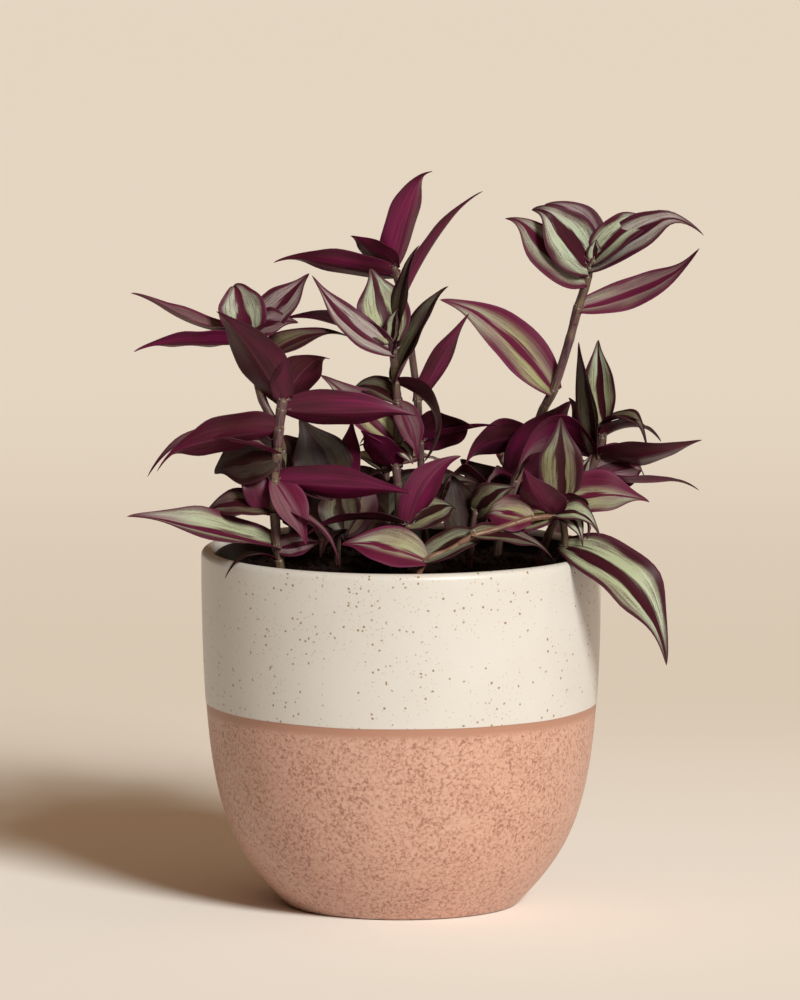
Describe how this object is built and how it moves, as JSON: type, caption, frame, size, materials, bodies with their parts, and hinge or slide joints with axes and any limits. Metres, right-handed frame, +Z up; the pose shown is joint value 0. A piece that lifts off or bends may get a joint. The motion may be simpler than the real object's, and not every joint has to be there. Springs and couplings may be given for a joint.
{
  "type": "potted tradescantia",
  "caption": "Silver inch plant with striped, pointed leaves on leafy stems, rooted in a black nursery pot inside a round-bellied two-tone glazed pot.",
  "frame": {"origin": "middle of the pot's flat foot, on the surface it stands on", "axes": "+Z up along the pot's axis, -Y towards the viewer of the picture (the plant's front), +X to that viewer's right"},
  "size_m": [0.2151, 0.1642, 0.2756],
  "materials": {
    "glaze": "satin",
    "nursery_plastic": "matte",
    "soil": "matte",
    "foliage": "satin"
  },
  "bodies": {
    "root": {"pot": "glaze", "grow_pot": "nursery_plastic", "soil": "soil", "stem_front_left": "foliage", "stem_centre": "foliage", "stem_centre_back": "foliage", "stem_front_centre": "foliage", "stem_trailing": "foliage", "stem_front_right": "foliage", "stem_right": "foliage", "stem_right_tall": "foliage", "stem_left_back": "foliage", "stem_centre_right": "foliage", "stem_back_left": "foliage", "stem_back": "foliage", "stem_back_right": "foliage"}
  },
  "joints": []
}
